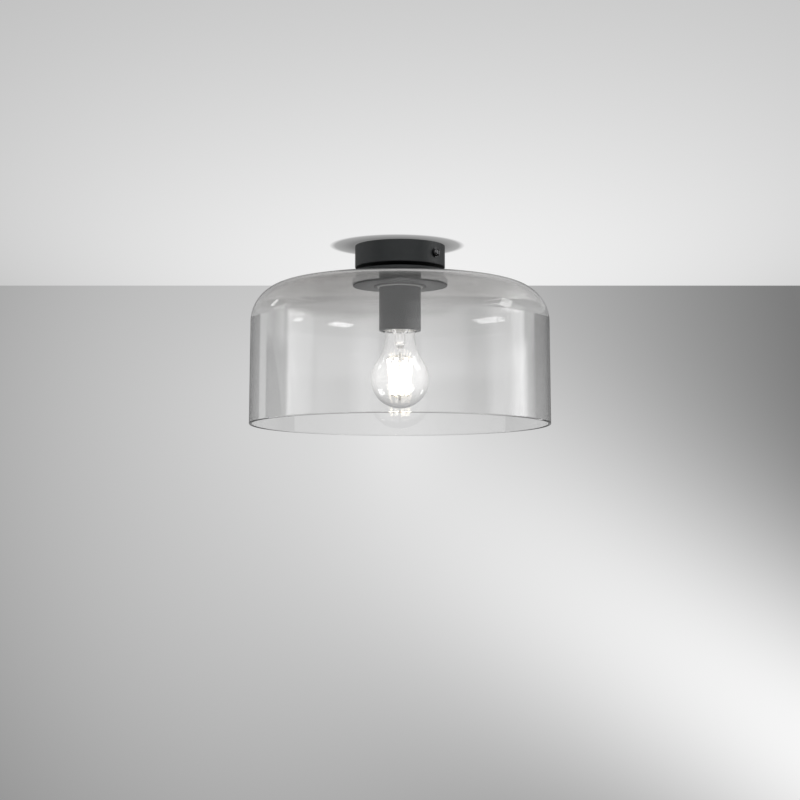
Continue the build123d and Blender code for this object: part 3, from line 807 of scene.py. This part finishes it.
def wallBrightness(tree, place):
    look = wallLook
    across = along(tree, place, acrossView)
    height = along(tree, place, upwards)
    sideways = hump(tree, across, look["middle"][0], look["width"][0])
    upright = hump(tree, height, look["middle"][1], look["width"][1])
    pool = calc(tree, "MULTIPLY", calc(tree, "MULTIPLY", sideways, upright), look["level"])
    glowHeight = hump(tree, height, *look["glowHeight"])
    for middle, width, level in look["glows"]:
        glow = calc(tree, "MULTIPLY", hump(tree, across, middle, width), level)
        pool = calc(tree, "ADD", pool, calc(tree, "MULTIPLY", glow, glowHeight))
    tilt = radians(look["beamTilt"])
    beamCross = along(tree, place, acrossView * sin(tilt) + upwards * cos(tilt))
    beamRun = along(tree, place, acrossView * cos(tilt) - upwards * sin(tilt))
    growth = softStep(tree, beamRun, *look["beamStart"], look["beam"])
    beam = calc(tree, "MULTIPLY", hump(tree, beamCross, look["beamMiddle"], look["beamWidth"]), growth)
    return calc(tree, "MAXIMUM", calc(tree, "ADD", pool, beam), look["least"])


half = stageForm["size"] / 2
lift = stageForm["ceilingLift"]
floorZ = stageForm["floor"]
ceilingCorners = [(-half, -half, lift), (-half, half, lift), (half, half, lift), (half, -half, lift)]
ceiling = stagePlane("stage_ceiling", ceilingCorners, stagePaint("white_ceiling", ceilingBrightness))
wallFoot = -towardsCamera * stageForm["wallBehind"]
wallLeft = wallFoot - acrossView * half
wallRight = wallFoot + acrossView * half
wallCorners = [wallLeft + upwards * floorZ, wallRight + upwards * floorZ,
               wallRight + upwards * lift, wallLeft + upwards * lift]
wall = stagePlane("stage_wall", wallCorners, stagePaint("grey_wall", wallBrightness))
for paper in (ceiling, wall):
    paper.visible_shadow = False
    paper.visible_diffuse = False
    paper.visible_glossy = False
floorPaint = plastic("pale_floor", (0.78, 0.78, 0.78), (0.82, 0.82, 0.82), (0.8, 0.9),
                     grain=200, grainStrength=0.05)
floorEdge = circle(stageForm["floorR"], floorZ, stageForm["floorSides"])
floor = stagePlane("stage_floor", floorEdge, floorPaint)
floor.visible_glossy = False
print("stage made")


# camera: places in metres, pitch in degrees, lens and sensor in millimetres

cameraForm = {"distance": 1.9, "belowCeiling": 0.3268, "pitch": 5.169, "lens": 86.18, "sensor": 36.0}
camData = bpy.data.cameras.new("view")
camData.lens = cameraForm["lens"]
camData.sensor_width = cameraForm["sensor"]
camera = bpy.data.objects.new("view", camData)
bpy.context.scene.collection.objects.link(camera)
camera.location = towardsCamera * cameraForm["distance"] - upwards * cameraForm["belowCeiling"]
pitch = radians(cameraForm["pitch"])
aim = upwards * sin(pitch) - towardsCamera * cos(pitch)
camera.rotation_euler = aim.to_track_quat("-Z", "Y").to_euler()
bpy.context.scene.camera = camera


# lights: softboxes by their bearing from the camera side (right is plus) and their rise above the lamp's
# middle in degrees, their reach in metres, and how wide and tall they look from there in degrees

softboxes = [
    {"name": "low_right_box", "bearing": 61, "rise": -40, "reach": 1.5, "wide": 13.7, "tall": 17.4,
     "power": 3.2},
    {"name": "low_left_box", "bearing": -105, "rise": -37, "reach": 0.6, "wide": 17, "tall": 26,
     "power": 0.65},
    {"name": "low_back_box", "bearing": 121, "rise": -30, "reach": 0.42, "wide": 8, "tall": 10,
     "power": 0.06},
    {"name": "high_right_box", "bearing": 86, "rise": 18, "reach": 1.5, "wide": 17.5, "tall": 9.9,
     "power": 1.2},
    {"name": "high_left_box", "bearing": -112, "rise": 20.5, "reach": 1.5, "wide": 8.4, "tall": 5.3,
     "power": 0.35},
]
lampMiddle = Vector((0, 0, -0.09))
for box in softboxes:
    lamp = bpy.data.lights.new(box["name"], "AREA")
    lamp.shape = "RECTANGLE"
    lamp.size = 2 * box["reach"] * tan(radians(box["wide"] / 2))
    lamp.size_y = 2 * box["reach"] * tan(radians(box["tall"] / 2))
    lamp.energy = box["power"]
    obj = bpy.data.objects.new(box["name"], lamp)
    bpy.context.scene.collection.objects.link(obj)
    bearing, rise = radians(box["bearing"]), radians(box["rise"])
    level = towardsCamera * cos(bearing) + acrossView * sin(bearing)
    obj.location = lampMiddle + (level * cos(rise) + upwards * sin(rise)) * box["reach"]
    obj.rotation_euler = (lampMiddle - obj.location).to_track_quat("-Z", "Z").to_euler()
    obj.visible_camera = False

# studio round the lamp: its even light, what the camera sees of it, and what gloss sees below the bands
studioLook = {"light": 0.55, "seen": 0.82, "below": 0.3, "brightest": 8.0}
# bands that gloss and the view through glass see, from low to high: the rise, as its sine, over which
# each begins, then (bearing from the camera side, brightness), bright left and right and dark behind
studioBands = [
    {"rise": (0.02, 0.05),
     "strips": [(-180, 0.4), (-148, 0.03), (-135, 0.03), (-133, 1.2), (-123, 1.4), (-121, 0.1),
                (-104, 0.15), (-96, 0.4), (-92, 5.2), (-84, 3.5), (-74, 2.9), (-67, 1.4), (-62, 1.7),
                (-47, 1.0), (-40, 0.8), (-28, 2.6), (-20, 2.5), (-13, 0.9), (2, 0.8), (7, 1.4),
                (11, 2.0), (20, 2.1), (44, 1.4), (56, 0.3), (66, 0.5), (76, 3.0), (84, 2.9),
                (96, 5.2), (106, 6.3), (114, 1.8), (125, 0.02), (180, 0.2)]},
    {"rise": (0.111, 0.127),
     "strips": [(-180, 0.4), (-148, 0.03), (-135, 0.03), (-133, 1.2), (-123, 1.4), (-121, 0.1),
                (-104, 0.15), (-96, 0.4), (-92, 5.2), (-80, 4.6), (-70, 3.8), (-67, 2.8), (-62, 3.5),
                (-40, 3.0), (-28, 4.3), (-20, 3.8), (-13, 2.2), (2, 2.1), (7, 2.7), (11, 3.5),
                (20, 3.9), (44, 3.4), (56, 2.1), (66, 2.4), (76, 4.4), (90, 4.8), (96, 6.3),
                (106, 6.3), (114, 1.8), (122, 0.9), (125, 0.02), (180, 0.2)]},
    {"rise": (0.122, 0.136),
     "strips": [(-180, 0.4), (-148, 0.03), (-135, 0.03), (-133, 1.2), (-123, 1.4), (-121, 1.2),
                (-111, 0.75), (-106, 1.35), (-100, 2.4), (-96, 1.4), (-92, 5.4), (-80, 4.9),
                (-70, 4.4), (-67, 3.4), (-40, 3.1), (-28, 4.3), (-20, 3.8), (-13, 2.2), (2, 2.1),
                (11, 3.5), (20, 3.9), (44, 3.4), (56, 2.1), (66, 2.8), (76, 4.7), (90, 4.4),
                (96, 5.3), (106, 5.0), (110, 1.6), (122, 1.2), (125, 0.02), (180, 0.2)]},
    {"rise": (0.148, 0.153),
     "strips": [(-180, 0.3), (-140, 0.6), (-120, 0.7), (-105, 1.4), (-41, 1.5), (-22, 2.3), (-13, 2.0),
                (1, 1.9), (6, 2.3), (12, 2.8), (30, 2.0), (53, 1.5), (110, 1.2), (140, 0.6),
                (180, 0.3)]},
    {"rise": (0.17, 0.35),
     "strips": [(-180, 0.3), (-60, 0.35), (-40, 1.2), (-20, 1.8), (10, 1.9), (30, 1.9), (60, 0.8),
                (110, 0.7), (140, 0.3), (180, 0.3)]},
]


def evenLight(tree, strength):
    shade = tree.nodes.new("ShaderNodeBackground")
    shade.inputs["Color"].default_value = (1, 1, 1, 1)
    shade.inputs["Strength"].default_value = strength
    return shade.outputs["Background"]


def studioWorld():
    world = bpy.data.worlds.new("studio")
    bpy.context.scene.world = world
    world.use_nodes = True
    tree = world.node_tree
    look = tree.nodes.new("ShaderNodeTexCoord").outputs["Generated"]
    bearing = calc(tree, "ARCTAN2", along(tree, look, acrossView), along(tree, look, towardsCamera))
    rise = along(tree, look, upwards)
    brightest = studioLook["brightest"]
    gloss = evenLight(tree, studioLook["below"])
    for band in studioBands:
        stops = [(radians(turn), grey / brightest) for turn, grey in band["strips"]]
        strips = tree.nodes.new("ShaderNodeBackground")
        strips.inputs["Strength"].default_value = brightest
        tree.links.new(greyRamp(tree, bearing, stops), strips.inputs["Color"])
        begun = softStep(tree, rise, *band["rise"])
        gloss = mixedShaders(tree, begun, gloss, strips.outputs["Background"])
    path = tree.nodes.new("ShaderNodeLightPath").outputs
    throughGlass = calc(tree, "MAXIMUM", path["Is Glossy Ray"], path["Is Transmission Ray"])
    lit = mixedShaders(tree, throughGlass, evenLight(tree, studioLook["light"]), gloss)
    final = mixedShaders(tree, path["Is Camera Ray"], lit, evenLight(tree, studioLook["seen"]))
    tree.links.new(final, tree.nodes["World Output"].inputs["Surface"])


studioWorld()

bpy.context.scene.view_settings.view_transform = "Standard"
print("lights and camera set")
